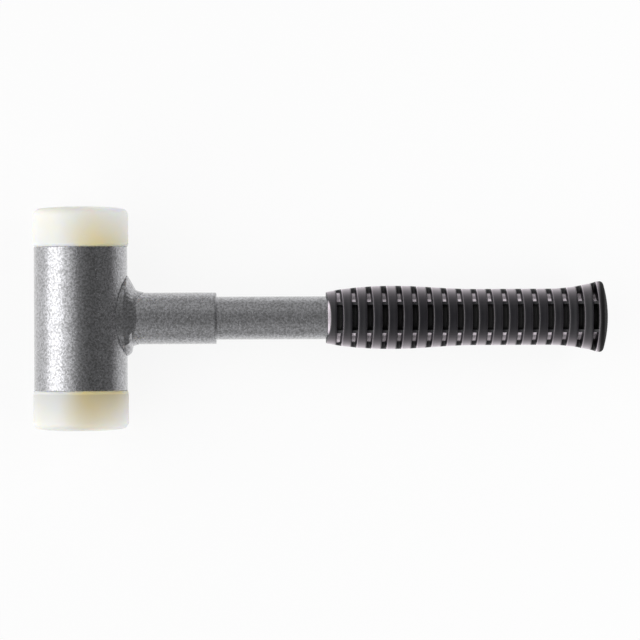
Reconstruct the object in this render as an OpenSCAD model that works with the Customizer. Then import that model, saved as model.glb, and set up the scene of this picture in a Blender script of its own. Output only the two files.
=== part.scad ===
// Dead blow hammer: a steel head tube with nylon striking inserts and a loose shot charge inside,
// a welded sleeve, a handle tube and a moulded rubber grip.
// It lies on its side: +X runs along the handle to the butt, +Y along the head, +Z up from the table.
// The origin is on the table, under the middle of the hammer's outline. Lengths are in millimetres.

/* [Striking inserts] */
// Diameter of a striking insert
face_d = 50; // [40:0.5:60]
// Height of an insert above the end of the head tube
face_h = 20.9; // [16:0.1:28]
// How far an insert stands out past the head tube, all round
face_overhang = 0.55; // [0.2:0.05:1.5]
// Height of the bevel at an insert's base
face_bevel_h = 1.5; // [0.5:0.1:3]
// Rounding of an insert's outer edge
face_edge_r = 3; // [1:0.1:5]
// Drop of the crowned face from its flat middle to its rounded edge
face_crown = 0.8; // [0.2:0.1:2]
// Diameter of the flat middle of the face
face_land_d = 20; // [10:0.5:30]
// Height of the snap bead round an insert's spigot
bead_h = 0.4; // [0.2:0.05:0.8]
// Width of the snap bead at its foot
bead_w = 2.4; // [1.5:0.1:4]

/* [Head tube] */
// Length of the head tube
housing_l = 75.2; // [60:0.1:95]
// Wall of the head tube round the shot chamber
housing_wall = 4.1; // [3:0.1:6]
// Rounding of the head tube's ends
housing_edge_r = 0.5; // [0.2:0.1:1]
// Step from the chamber out to the seat at each end
seat_step = 1.2; // [0.8:0.1:2]
// Depth of the seat that takes a disc and an insert's spigot
seat_depth = 12; // [9:0.1:16]
// Thickness of the disc that closes the chamber
disc_t = 2; // [1:0.1:4]

/* [Shot] */
// Diameter of one steel ball
ball_d = 6; // [4:0.1:8]
// Gap between neighbouring balls
ball_gap = 0.1; // [0.05:0.01:0.3]
// Depth of the charge in the chamber when the hammer lies on its side
shot_depth = 29.3; // [12:0.1:36]
// Least free travel of the charge each way along the head
shot_travel = 4.2; // [2:0.1:8]
// Gap between the balls and the chamber's wall
shot_wall_gap = 0.15; // [0.1:0.01:0.4]

/* [Handle] */
// Outside diameter of the handle tube
tube_d = 22.5; // [18:0.1:26]
// Wall of the handle tube
tube_wall = 2; // [1:0.1:3]
// Distance from the head tube to the hidden end of the handle tube
tube_setback = 1.5; // [0.5:0.1:4]
// Wall of the sleeve that holds the handle tube
sleeve_wall = 2.2; // [1.5:0.1:4]
// Distance from the head's axis to the end of the sleeve
sleeve_reach = 71.1; // [55:0.1:90]
// Rounding of the sleeve's end
sleeve_edge_r = 0.7; // [0.3:0.1:1.2]
// Bare handle tube between the sleeve and the grip
bare_l = 56.8; // [20:0.1:120]

/* [Weld] */
// Reach of the weld past the sleeve along the head, on the +Y side
weld_reach = 9; // [5:0.1:11]
// Reach of the weld past the sleeve along the head, on the -Y side
weld_lower_reach = 6.4; // [4:0.1:11]
// Reach of the weld past the sleeve across the head
weld_side_reach = 1.7; // [1:0.1:4]
// Drop of the weld's shoulder across the head
weld_side_drop = 2.2; // [1:0.1:4]
// Lean of the weld's rim towards the head tube, across the head
weld_lean = 25; // [10:1:30]
// Height of the weld's sloping face above the head tube, on the +Y side
weld_h = 4.5; // [3:0.05:7]
// Height of the weld's sloping face above the head tube, on the -Y side
weld_lower_h = 3; // [2.5:0.05:6]
// Bulge of the weld's sloping face, on the -Y side
weld_bulge = 1; // [0.2:0.1:1.5]
// Rise of the weld's toe above the sleeve where the slope ends, on the +Y side
weld_toe_rise = 1.2; // [0.5:0.1:1.6]
// Length of the weld's toe along the sleeve, on the +Y side
weld_toe_l = 3.9; // [2:0.1:6]

/* [Grip outline] */
// Length from the lip to the middle of the palm bulge
lip_to_bulge = 35.6; // [25:0.1:50]
// Length from the palm bulge to the waist
bulge_to_waist = 44; // [25:0.1:60]
// Length of the straight waist
waist_l = 37.5; // [15:0.1:60]
// Length from the waist to the rim of the butt
waist_to_rim = 26.3; // [18:0.1:40]
// Length of the rounded butt past its rim
butt_l = 4.5; // [3.5:0.1:8]
// Rounding of the rim of the butt
butt_edge_r = 2; // [1:0.1:3]
// Rubber over the end of the handle tube
butt_wall = 6; // [4:0.1:12]
// Rubber on the tube at the lip
lip_t = 2.15; // [1.8:0.05:3]
// Rubber on the tube at the palm bulge
bulge_t = 5.3; // [4:0.05:8]
// Rubber on the tube at the waist
waist_t = 3.45; // [2.6:0.05:5]
// Rubber on the tube at the rim of the butt
rim_t = 7.25; // [5.5:0.05:10]

/* [Grip mouth] */
// Depth of the scooped mouth, at the grip's outer surface
mouth_depth = 3; // [2:0.1:5]
// Depth of the scooped mouth, at the handle tube
mouth_foot = 1.4; // [0.8:0.1:1.8]
// Radius of the scoop seen from above
mouth_r = 33; // [25:0.5:45]

/* [Grip pockets] */
// Distance from one row of pockets to the next
pocket_pitch = 7.88; // [6:0.01:12]
// Width of a pocket along the handle
pocket_w = 3.25; // [2:0.05:4.5]
// Distance from the lip to the middle of the first row
first_row = 7.8; // [6.5:0.1:12]
// Width of the middle pocket across the handle
middle_pocket_w = 13.2; // [9:0.1:16]
// Thickness of the web on each side of the middle pocket
web_t = 2.4; // [1.5:0.1:4]
// How far the top of that web lies below the ribs
web_drop = 1.1; // [0.4:0.05:2]
// Width of the web in the mould's parting plane, where it is flush with the ribs
parting_web_w = 3.2; // [2.4:0.1:4]
// Radius of that web's rounded flanks, which end the side pockets
parting_web_r = 4; // [3:0.1:5]
// Rubber under the middle pockets
middle_floor_t = 0.8; // [0.6:0.05:1.1]
// Rubber under the first row's side pockets
first_floor_t = 2.05; // [1:0.05:2.3]
// Rubber under the last row's side pockets
last_floor_t = 1.15; // [0.8:0.05:2.3]

/* [Fits] */
// Gap between pieces that are pushed, pressed or welded together
fit_gap = 0.05; // [0.02:0.01:0.1]

/* [Hidden] */
$fn = 96;
// How far a cutter passes the face that it opens
cut_over = 1;

// Head, measured from its middle along the head's axis
face_r = face_d / 2;
housing_r = face_r - face_overhang;
chamber_r = housing_r - housing_wall;
seat_r = chamber_r + seat_step;
chamber_half = housing_l / 2 - seat_depth;
spigot_l = seat_depth - disc_t;
bead_middle = spigot_l / 2;
bead_crest = bead_w / 5;

// Handle and weld, measured from the head's axis
tube_r = tube_d / 2;
sleeve_bore_r = tube_r + fit_gap;
sleeve_r = sleeve_bore_r + sleeve_wall;
tube_start = housing_r + tube_setback;
grip_start = sleeve_reach + bare_l;
weld_root = housing_r / 2;
weld_inner_r = sleeve_r - sleeve_wall / 2;
weld_round_r = weld_side_reach / 3;

// Grip, measured from its lip
grip_bore_r = tube_r + fit_gap;
lip_r = tube_r + lip_t;
bulge_r = tube_r + bulge_t;
waist_r = tube_r + waist_t;
rim_r = tube_r + rim_t;
waist_at = lip_to_bulge + bulge_to_waist;
flare_at = waist_at + waist_l;
rim_at = flare_at + waist_to_rim;
grip_l = rim_at + butt_l;
tube_end = grip_start + grip_l - butt_wall;
front_arc_r = arc_radius(lip_to_bulge, bulge_r - lip_r);
flare_arc_r = arc_radius(waist_to_rim, rim_r - waist_r);
butt_inner_r = rim_r - butt_edge_r;
dome_r = (butt_l ^ 2 + butt_inner_r ^ 2 - butt_edge_r ^ 2) / (2 * (butt_l - butt_edge_r));
dome_tangent = atan2(butt_inner_r, dome_r - butt_l);
row_count = floor((rim_at - first_row) / pocket_pitch) + 1;
web_y = (middle_pocket_w + web_t) / 2;
pocket_clear_r = rim_r + cut_over;

// Shot lattice: rows of balls in a triangular pattern across the chamber, the same in every layer
ball_pitch = ball_d + ball_gap;
ball_reach = chamber_r - ball_d / 2 - shot_wall_gap;
row_rise = ball_pitch * sin(60);
fill_top = shot_depth - chamber_r - ball_d / 2;
layer_room = 2 * (chamber_half - shot_travel) - ball_d;
layer_count = floor(layer_room / ball_pitch) + 1;

// Place of the head's axis in the frame
head_x = (face_r - grip_start - grip_l) / 2;
axis_z = face_r;

// Number of straight steps in a long curve and in a rounded edge of a turned outline
curve_steps = 10;
edge_steps = 6;
// Number of sides of the weld round the handle, and of the round cuts that seat it
weld_sides = 72;
weld_cut_sides = 288;
// Number of sides of a ball's outline, few because there are many balls
ball_sides = 24;

// Radius of the arc that leaves a straight line and departs from it by rise over a given run
function arc_radius(run, rise) = (run ^ 2 + rise ^ 2) / (2 * rise);

// Departure of such an arc from its line, at a distance along the line
function arc_drop(radius, along) = radius - sqrt(radius ^ 2 - along ^ 2);

// Points on an arc about a centre, from one angle to another
function arc_points(centre, radius, from, to, steps) = [
    for (i = [0 : steps])
        let (angle = from + (to - from) * i / steps)
        centre + radius * [cos(angle), sin(angle)]
];

// Radius of the grip at a distance from its lip: an arc up to the palm bulge, a cosine down to the waist,
// the straight waist, and an arc that flares to the rim
function grip_radius(along) =
    along < lip_to_bulge ? bulge_r - arc_drop(front_arc_r, lip_to_bulge - along)
    : along < waist_at ? waist_r + (bulge_r - waist_r) * cosine_fall((along - lip_to_bulge) / bulge_to_waist)
    : along < flare_at ? waist_r
    : waist_r + arc_drop(flare_arc_r, along - flare_at);

// Distance from a circle's middle to its chord of the parting web's width
function leg(radius) = sqrt(radius ^ 2 - (parting_web_w / 2) ^ 2);

// Largest radius of the grip over the width of a row of pockets
function row_radius(row_at) = max(grip_radius(row_at - pocket_w / 2), grip_radius(row_at + pocket_w / 2));

// Smooth fall from 1 to 0 as a share runs from 0 to 1
function cosine_fall(share) = (1 + cos(180 * share)) / 2;

// Stations between two distances along the grip, without the last one
function stations(from, to) = [for (i = [0 : curve_steps - 1]) from + (to - from) * i / curve_steps];

// Lays a shape that was drawn along +Z on the head's axis, with +Z towards +Y
module along_head() {
    translate([head_x, 0, axis_z])
        rotate([-90, 0, 0])
            children();
}

// Lays a shape that was drawn along +Z on the handle's axis, at a distance from the head's axis
module along_handle(distance) {
    translate([head_x + distance, 0, axis_z])
        rotate([0, 90, 0])
            children();
}

// Snap bead, or its groove, on a cylinder: a ridge with sloping flanks
module snap_ridge(radius, middle) {
    rotate_extrude()
        polygon([
            [radius - bead_h, middle - bead_w / 2],
            [radius, middle - bead_w / 2],
            [radius + bead_h, middle - bead_crest],
            [radius + bead_h, middle + bead_crest],
            [radius, middle + bead_w / 2],
            [radius - bead_h, middle + bead_w / 2]
        ]);
}

// One end of the head tube's bore: the seat and the groove for the snap bead
module housing_seat() {
    translate([0, 0, chamber_half])
        cylinder(h = seat_depth + cut_over, r = seat_r);
    snap_ridge(seat_r, housing_l / 2 - bead_middle);
}

// Plain head tube with rounded ends, larger all round by a given gap
module housing_blank(gap = 0) {
    half = housing_l / 2;
    corner_r = housing_r - housing_edge_r;
    upper_edge = arc_points([corner_r, half - housing_edge_r], housing_edge_r, 90, 0, edge_steps);
    lower_edge = arc_points([corner_r, housing_edge_r - half], housing_edge_r, 0, -90, edge_steps);
    rotate_extrude()
        polygon(concat(
            [[0, half + gap]],
            [for (p = upper_edge) p + [gap, gap]],
            [for (p = lower_edge) p + [gap, -gap]],
            [[0, -half - gap]]
        ));
}

module head_housing() {
    color("dimgray")
        along_head()
            difference() {
                housing_blank();
                cylinder(h = housing_l, r = chamber_r, center = true);
                housing_seat();
                mirror([0, 0, 1]) housing_seat();
            }
}

// Striking insert at the +Y end: a crowned head and a spigot that snaps into the seat
module striking_insert() {
    base = housing_l / 2;
    top = base + face_h;
    spigot_r = seat_r - fit_gap;
    corner_r = face_r - face_edge_r;
    corner_at = top - face_crown - face_edge_r;
    crown_run = corner_r - face_land_d / 2;
    crown_arc_r = arc_radius(crown_run, face_crown);
    crown = [
        for (i = [edge_steps - 1 : -1 : 0])
            let (out = crown_run * i / edge_steps)
            [face_land_d / 2 + out, top - arc_drop(crown_arc_r, out)]
    ];
    rotate_extrude()
        polygon(concat(
            [[0, base - spigot_l], [spigot_r, base - spigot_l], [spigot_r, base]],
            [[housing_r, base], [face_r, base + face_bevel_h]],
            arc_points([corner_r, corner_at], face_edge_r, 0, 90, edge_steps),
            crown,
            [[0, top]]
        ));
    snap_ridge(spigot_r, base - bead_middle);
}

module upper_face() {
    color("ivory")
        along_head() striking_insert();
}

module lower_face() {
    color("ivory")
        along_head() mirror([0, 0, 1]) striking_insert();
}

// Disc that lies on the shoulder of the seat and closes the chamber at the +Y end
module shot_disc() {
    translate([0, 0, chamber_half])
        cylinder(h = disc_t, r = seat_r - fit_gap);
}

module upper_shot_disc() {
    color("silver")
        along_head() shot_disc();
}

module lower_shot_disc() {
    color("silver")
        along_head() mirror([0, 0, 1]) shot_disc();
}

module steel_shot() {
    ball_rows = floor((fill_top + ball_reach) / row_rise);
    color("silver")
        translate([head_x, 0, axis_z])
            for (layer = [0 : layer_count - 1], row = [0 : ball_rows]) {
                along = (layer - (layer_count - 1) / 2) * ball_pitch;
                height = row * row_rise - ball_reach;
                reach = sqrt(ball_reach ^ 2 - height ^ 2);
                shift = row % 2 * ball_pitch / 2;
                count = floor((reach - shift) / ball_pitch);
                for (side = [row % 2 == 0 ? -count : -count - 1 : count])
                    translate([side * ball_pitch + shift, along, height])
                        sphere(d = ball_d, $fn = ball_sides);
            }
}

// Sleeve that stands on the head tube, cut to its curve
module neck_socket() {
    corner = [sleeve_r - sleeve_edge_r, sleeve_reach - sleeve_edge_r];
    color("dimgray")
        difference() {
            along_handle(0)
                rotate_extrude()
                    polygon(concat(
                        [[sleeve_bore_r, 0], [sleeve_r, 0]],
                        arc_points(corner, sleeve_edge_r, 0, 90, edge_steps),
                        [[sleeve_bore_r, sleeve_reach]]
                    ));
            along_head() housing_blank(fit_gap);
        }
}

// Reach of the weld from the handle's axis at an angle from the +Y side: an ellipse on each side
function weld_rim(angle) =
    let (
        along = sleeve_r + (cos(angle) > 0 ? weld_reach : weld_lower_reach),
        across = sleeve_r + weld_side_reach
    )
    1 / norm([cos(angle) / along, sin(angle) / across]);

// Outline of the weld at an angle round the handle, as distance from the head's axis and radius:
// up the leaning rim, over its rounded shoulder, down the slope, along the toe and back inside the sleeve
function weld_outline(angle) =
    let (
        lower = max(-cos(angle), 0) ^ 2,
        rim = weld_rim(angle),
        share = (rim - sleeve_r) / weld_reach,
        lean = tan(weld_lean * sin(angle) ^ 2),
        shoulder = housing_r - weld_side_drop * sin(angle) ^ 2,
        slope_end = housing_r + weld_h + (weld_lower_h - weld_h) * lower,
        toe_end = slope_end + weld_toe_l * share,
        toe_r = sleeve_r + weld_toe_rise * share,
        bulge = weld_bulge * lower
    ) [
        [weld_root, rim + (shoulder - weld_root) * lean],
        [shoulder - weld_round_r, rim + weld_round_r * lean],
        [shoulder, rim - weld_round_r / 4],
        [shoulder + weld_round_r, rim - weld_round_r + bulge],
        [(shoulder + slope_end) / 2 + bulge, (rim + toe_r) / 2 + bulge],
        [slope_end, toe_r],
        [slope_end + (toe_end - slope_end) / 3, (sleeve_r + toe_r) / 2],
        [toe_end, sleeve_r + fit_gap + (toe_r - sleeve_r) / 5],
        [toe_end, weld_inner_r],
        [weld_root, weld_inner_r]
    ];

// Fillet weld in the corner between the head tube and the sleeve
module weld_seam() {
    rings = [for (i = [0 : weld_sides - 1]) weld_outline(360 * i / weld_sides)];
    stops = len(rings[0]);
    points = [
        for (i = [0 : weld_sides - 1], p = rings[i])
            let (angle = 360 * i / weld_sides)
            [p[0], p[1] * cos(angle), p[1] * sin(angle)]
    ];
    faces = [
        for (i = [0 : weld_sides - 1], j = [0 : stops - 1])
            let (next_i = (i + 1) % weld_sides, next_j = (j + 1) % stops)
            [i * stops + j, next_i * stops + j, next_i * stops + next_j, i * stops + next_j]
    ];
    color("dimgray")
        difference() {
            translate([head_x, 0, axis_z])
                polyhedron(points, faces);
            along_head() housing_blank(fit_gap, $fn = weld_cut_sides);
            along_handle(0) cylinder(h = sleeve_reach, r = sleeve_r + fit_gap, $fn = weld_cut_sides);
        }
}

module handle_tube() {
    tube_l = tube_end - tube_start;
    color("dimgray")
        along_handle(tube_start)
            difference() {
                cylinder(h = tube_l, r = tube_r);
                translate([0, 0, -cut_over]) cylinder(h = tube_l + 2 * cut_over, r = tube_r - tube_wall);
            }
}

// Turned outline of the grip, as radius and distance from the lip
module grip_outline() {
    front = concat(stations(0, lip_to_bulge), stations(lip_to_bulge, waist_at), [waist_at]);
    side = [for (along = concat(front, stations(flare_at, rim_at))) [along, grip_radius(along)]];
    edge = arc_points([rim_at, butt_inner_r], butt_edge_r, 90, dome_tangent, edge_steps);
    dome = arc_points([grip_l - dome_r, 0], dome_r, dome_tangent, 0, edge_steps);
    dome_rest = [for (i = [1 : edge_steps]) dome[i]];
    polygon(concat([[0, 0]], [for (p = concat(side, edge, dome_rest)) [p[1], p[0]]]));
}

// One row of pockets, above and below: a deep middle pocket between two low webs, and a side pocket past
// each web that ends at the round parting web
module pocket_row(side_floor_r, web_r, parting_r) {
    linear_extrude(pocket_w, center = true)
        difference() {
            circle(r = pocket_clear_r);
            circle(r = tube_r + middle_floor_t);
            difference() {
                circle(r = side_floor_r);
                square([2 * pocket_clear_r, middle_pocket_w], center = true);
            }
            for (side = [-1, 1]) {
                intersection() {
                    translate([0, side * web_y]) square([2 * pocket_clear_r, web_t], center = true);
                    circle(r = web_r);
                }
                translate([0, side * (leg(parting_r) - leg(parting_web_r))]) circle(r = parting_web_r);
            }
        }
}

// Scoop in the lip: it lies inside an upright cylinder ahead of the lip, and ahead of a cone about the handle
module mouth_scoop() {
    slope = (mouth_depth - mouth_foot) / (grip_radius(mouth_depth) - tube_r);
    intersection() {
        translate([mouth_depth - mouth_r, 0, 0])
            cylinder(h = 2 * rim_r, r = mouth_r, center = true);
        rotate([0, 90, 0])
            rotate_extrude()
                polygon([
                    [0, -cut_over],
                    [rim_r, -cut_over],
                    [rim_r, mouth_foot + (rim_r - tube_r) * slope],
                    [tube_r, mouth_foot],
                    [0, mouth_foot]
                ]);
    }
}

module rubber_grip() {
    color("#1c1b1d")
        difference() {
            along_handle(grip_start) rotate_extrude() grip_outline();
            along_handle(grip_start - cut_over) cylinder(h = grip_l - butt_wall + cut_over, r = grip_bore_r);
            for (row = [0 : row_count - 1]) {
                row_at = first_row + row * pocket_pitch;
                floor_t = first_floor_t + (last_floor_t - first_floor_t) * row / (row_count - 1);
                along_handle(grip_start + row_at)
                    pocket_row(tube_r + floor_t, grip_radius(row_at) - web_drop, row_radius(row_at));
            }
            translate([head_x + grip_start, 0, axis_z]) mouth_scoop();
        }
}

head_housing();
upper_face();
lower_face();
upper_shot_disc();
lower_shot_disc();
steel_shot();
neck_socket();
weld_seam();
handle_tube();
rubber_grip();
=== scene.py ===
"""Dead blow hammer: the visible surfaces, finishes and studio stage, built round the construction frame."""

import math

import bmesh
import bpy
import numpy as np
from bpy.props import FloatProperty, FloatVectorProperty, IntProperty, PointerProperty
from bpy.types import Operator, Panel, PropertyGroup
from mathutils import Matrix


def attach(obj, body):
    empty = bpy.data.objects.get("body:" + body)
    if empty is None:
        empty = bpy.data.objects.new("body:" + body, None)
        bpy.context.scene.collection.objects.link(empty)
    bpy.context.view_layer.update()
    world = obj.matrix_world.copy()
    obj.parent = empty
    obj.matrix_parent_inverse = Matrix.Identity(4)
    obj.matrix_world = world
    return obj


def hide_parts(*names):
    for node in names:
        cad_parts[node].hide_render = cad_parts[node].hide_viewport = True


bl_info = {
    "name": "Dead Blow Hammer",
    "version": (1, 0, 0),
    "blender": (4, 5, 0),
    "location": "View3D > Sidebar > Hammer",
    "description": "Builds a dead blow hammer's painted head, nylon inserts, weld and rubber grip",
    "category": "Add Mesh",
}

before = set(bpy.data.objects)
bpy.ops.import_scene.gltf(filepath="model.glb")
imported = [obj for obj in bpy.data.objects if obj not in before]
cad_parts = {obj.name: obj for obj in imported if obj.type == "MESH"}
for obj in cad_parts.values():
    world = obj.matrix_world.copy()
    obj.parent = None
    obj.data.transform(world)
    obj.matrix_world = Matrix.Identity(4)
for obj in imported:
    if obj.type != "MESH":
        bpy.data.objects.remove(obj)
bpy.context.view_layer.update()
MM = 0.001
HEAD_SIDES, HANDLE_SIDES, WELD_SIDES = 160, 144, 240
WHITE = (1, 1, 1, 1)
MERGE_DISTANCE, MERGE_DIGITS = 1e-7, 7


def node_points(node):
    """Corners of a construction node's mesh, one row each."""
    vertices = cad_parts[node].data.vertices
    points = np.empty(len(vertices) * 3, np.float32)
    vertices.foreach_get("co", points)
    return points.reshape(-1, 3).astype(float)


def node_span(node):
    """Lowest and highest corner of a construction node."""
    points = node_points(node)
    return points.min(axis=0), points.max(axis=0)


HOUSING_LOW, HOUSING_HIGH = node_span("head_housing")
HEAD_X = float(HOUSING_LOW[0] + HOUSING_HIGH[0]) / 2
AXIS_Z = float(HOUSING_LOW[2] + HOUSING_HIGH[2]) / 2
HOUSING_HALF = float(HOUSING_HIGH[1])


def reach_from_head(node):
    """Greatest distance of a node from the head's axis, which runs along Y."""
    points = node_points(node)
    return float(np.hypot(points[:, 0] - HEAD_X, points[:, 2] - AXIS_Z).max())


def reach_from_handle(node):
    """Greatest distance of a node from the handle's axis, which runs along X."""
    points = node_points(node)
    return float(np.hypot(points[:, 1], points[:, 2] - AXIS_Z).max())


INSERT_LOW, INSERT_HIGH = node_span("upper_face")
SLEEVE_HIGH = node_span("neck_socket")[1]
TUBE_LOW, TUBE_HIGH = node_span("handle_tube")
GRIP_LOW, GRIP_HIGH = node_span("rubber_grip")
INSERT_WIDTH = float((INSERT_HIGH - INSERT_LOW)[[0, 2]].min())
INSERT_TOP = float(INSERT_HIGH[1])


def length(name, description, default):
    """A length that a user may change, in metres."""
    return FloatProperty(
        name=name, description=description, default=default,
        min=0, precision=5, unit="LENGTH", subtype="DISTANCE",
    )


def position(name, description, default):
    """A place along an axis that a user may change, in metres from the frame's origin."""
    return FloatProperty(
        name=name, description=description, default=default,
        precision=5, unit="LENGTH", subtype="DISTANCE",
    )


def degrees(name, description, default):
    """An angle that a user may change, given here in degrees."""
    return FloatProperty(name=name, description=description, default=math.radians(default), subtype="ANGLE")


def number(name, description, default):
    """A plain number that a user may change."""
    return FloatProperty(name=name, description=description, default=default, min=0)


def count(name, description, default, least=1):
    """A number of copies that a user may change."""
    return IntProperty(name=name, description=description, default=default, min=least)


def colour(name, description, default):
    """A colour that a user may change, in linear values."""
    return FloatVectorProperty(
        name=name, description=description, default=default, size=3, min=0, max=1, subtype="COLOR"
    )


def factor(name, description, default):
    """A share from 0 to 1 that a user may change."""
    return FloatProperty(name=name, description=description, default=default, min=0, max=1, subtype="FACTOR")


class HeadSizes(PropertyGroup):
    """Sizes of the head tube."""

    radius: length("Radius", "Outside radius of the head tube", reach_from_head("head_housing"))
    half: length("Half length", "Distance from the middle of the head to the tube's end", HOUSING_HALF)
    chamber_radius: length("Chamber radius", "Radius of the shot chamber", 20.35 * MM)
    seat_radius: length("Seat radius", "Radius of the seat that takes an insert", 21.55 * MM)
    seat_depth: length("Seat depth", "Depth of the seat from the tube's end", 12 * MM)
    groove_middle: length("Groove place", "Distance from the tube's end to the snap groove", 5 * MM)
    groove_width: length("Groove width", "Width of the snap groove at its mouth", 2.4 * MM)
    groove_crest: length("Groove floor", "Half width of the snap groove's floor", 0.48 * MM)
    groove_depth: length("Groove depth", "Depth of the snap groove", 0.4 * MM)
    edge_round: length("End rounding", "Rounding of the tube's ends", 0.5 * MM)


class InsertSizes(PropertyGroup):
    """Sizes of a striking insert."""

    radius: length("Radius", "Outside radius of an insert", INSERT_WIDTH / 2)
    foot: length("Foot", "Distance from the middle of the head to the spigot's end", float(INSERT_LOW[1]))
    top: length("Top", "Distance from the middle of the head to the striking face", INSERT_TOP)
    fit_gap: length("Fit gap", "Gap between the spigot and its seat", 0.05 * MM)
    bevel_height: length("Bevel height", "Height of the bevel at the insert's base", 1.5 * MM)
    bevel_round: length("Bevel rounding", "Rounding of the bevel's edges", 0.15 * MM)
    edge_round: length("Edge rounding", "Rounding of the striking face's edge", 4 * MM)
    crown: length("Crown", "Drop of the face from its flat middle to its edge", 0.8 * MM)
    land_radius: length("Flat middle", "Radius of the flat middle of the face", 10 * MM)


class HandleSizes(PropertyGroup):
    """Sizes of the sleeve and the handle tube, measured from the head's axis."""

    tube_radius: length("Tube radius", "Outside radius of the handle tube", reach_from_handle("handle_tube"))
    tube_wall: length("Tube wall", "Wall of the handle tube", 2 * MM)
    tube_start: length("Tube start", "Distance to the tube's hidden end", float(TUBE_LOW[0]) - HEAD_X)
    tube_end: length("Tube end", "Distance to the tube's end in the grip", float(TUBE_HIGH[0]) - HEAD_X)
    sleeve_radius: length("Sleeve radius", "Outside radius of the sleeve", reach_from_handle("neck_socket"))
    sleeve_bore: length("Sleeve bore", "Radius of the sleeve's bore", 11.3 * MM)
    sleeve_end: length("Sleeve end", "Distance to the sleeve's end", float(SLEEVE_HIGH[0]) - HEAD_X)
    sleeve_round: length("Sleeve rounding", "Rounding of the sleeve's end", 0.7 * MM)
    bore_round: length("Bore rounding", "Rounding of the sleeve's bore and the tube's ends", 0.7 * MM / 3)
    root_gap: length("Root gap", "Gap between the sleeve and the head tube under the weld", 0.05 * MM)


class WeldSizes(PropertyGroup):
    """Sizes of the fillet weld at the foot of the sleeve."""

    upper_reach: length("Upper reach", "Reach past the sleeve on the upper side", 9 * MM)
    lower_reach: length("Lower reach", "Reach past the sleeve on the lower side", 6.4 * MM)
    side_reach: length("Side reach", "Reach past the sleeve across the head", 1.7 * MM)
    side_drop: length("Side drop", "How much lower the shoulder lies across the head", 2.2 * MM)
    lean: degrees("Lean", "Lean of the rim towards the head tube, across the head", 8)
    height: length("Height", "Height of the sloping face above the head tube", 4.5 * MM)
    lower_height: length("Lower height", "Height of the sloping face on the lower side", 3 * MM)
    corner_dip: length("Corner dip", "How much earlier the slope ends between its four sides", 1.3 * MM)
    toe_rise: length("Toe rise", "Rise of the toe above the sleeve", 1.2 * MM)
    toe_edge: length("Toe edge", "Rise of the toe's thin edge above the sleeve", 0.2 * MM)
    toe_length: length("Toe length", "Length of the toe along the sleeve", 3.9 * MM)
    lower_bulge: length("Lower bulge", "Bulge of the sloping face on the lower side", 1.0 * MM)
    fold: length("Fold", "Height of the fold where the bead starts and ends", 0.5 * MM)
    fold_at: degrees("Fold place", "Angle of the fold from the upper side", 140)
    fold_width: degrees("Fold width", "Half angle of the fold", 4.5)
    waver: length("Waver", "Unevenness of the bead", 0.12 * MM)
    ripple: length("Ripple", "Height of the ripples across the bead", 0.03 * MM)
    ripple_count: count("Ripples", "Number of ripples round the sleeve", 46)


class GripSizes(PropertyGroup):
    """Sizes of the rubber grip, measured from its lip."""

    start: length("Start", "Distance from the head's axis to the lip", float(GRIP_LOW[0]) - HEAD_X)
    total: length("Length", "Length of the grip", float(GRIP_HIGH[0] - GRIP_LOW[0]))
    bore_radius: length("Bore radius", "Radius of the grip's bore", 11.3 * MM)
    butt_wall: length("Butt wall", "Rubber over the end of the handle tube", 6 * MM)
    lip_radius: length("Lip radius", "Outside radius at the lip", 13.4 * MM)
    bulge_radius: length("Bulge radius", "Outside radius at the palm bulge", 16.55 * MM)
    waist_radius: length("Waist radius", "Outside radius at the waist", 14.7 * MM)
    rim_radius: length("Rim radius", "Outside radius at the butt", reach_from_handle("rubber_grip"))
    bulge_at: length("Bulge place", "Distance from the lip to the palm bulge", 35.6 * MM)
    waist_at: length("Waist start", "Distance from the lip to the waist", 79.6 * MM)
    flare_at: length("Flare start", "Distance from the lip to the flare", 117.1 * MM)
    rim_at: length("Rim place", "Distance from the lip to the rim", 143.4 * MM)
    butt_round: length("Rim rounding", "Rounding of the rim", 2 * MM)
    mouth_depth: length("Mouth depth", "Depth of the scooped mouth", 3 * MM)
    mouth_radius: length("Mouth radius", "Radius of the scoop seen from above", 33 * MM)
    mouth_foot: length("Mouth foot", "Depth of the scooped mouth at the handle tube", 1.4 * MM)
    mouth_wall: length("Mouth wall", "Height of the mouth's upright wall above the bore", 0.2 * MM)
    mouth_lean: length("Mouth lean", "Run of the mouth's upright wall", 0.05 * MM)
    mouth_round: length("Mouth rounding", "How far the rounded edge runs on past the scoop", 0.5 * MM)
    # Painted glint: a pale crescent on the lip's face.
    lip_bloom: number("Lip bloom", "Bloom on the lip's face, against the ribs'", 3)
    lip_bloom_half: length("Lip bloom reach", "Half width of the bloom on the lip's face", 9 * MM)
    lip_bloom_fade: length("Lip bloom fade", "Width over which that bloom fades out", 3 * MM)
    # Painted shade: the butt is made black, and it is also made rougher.
    butt_dull: number("Butt dullness", "How black and dull the butt is, against the deep pockets", 1.5)


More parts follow.
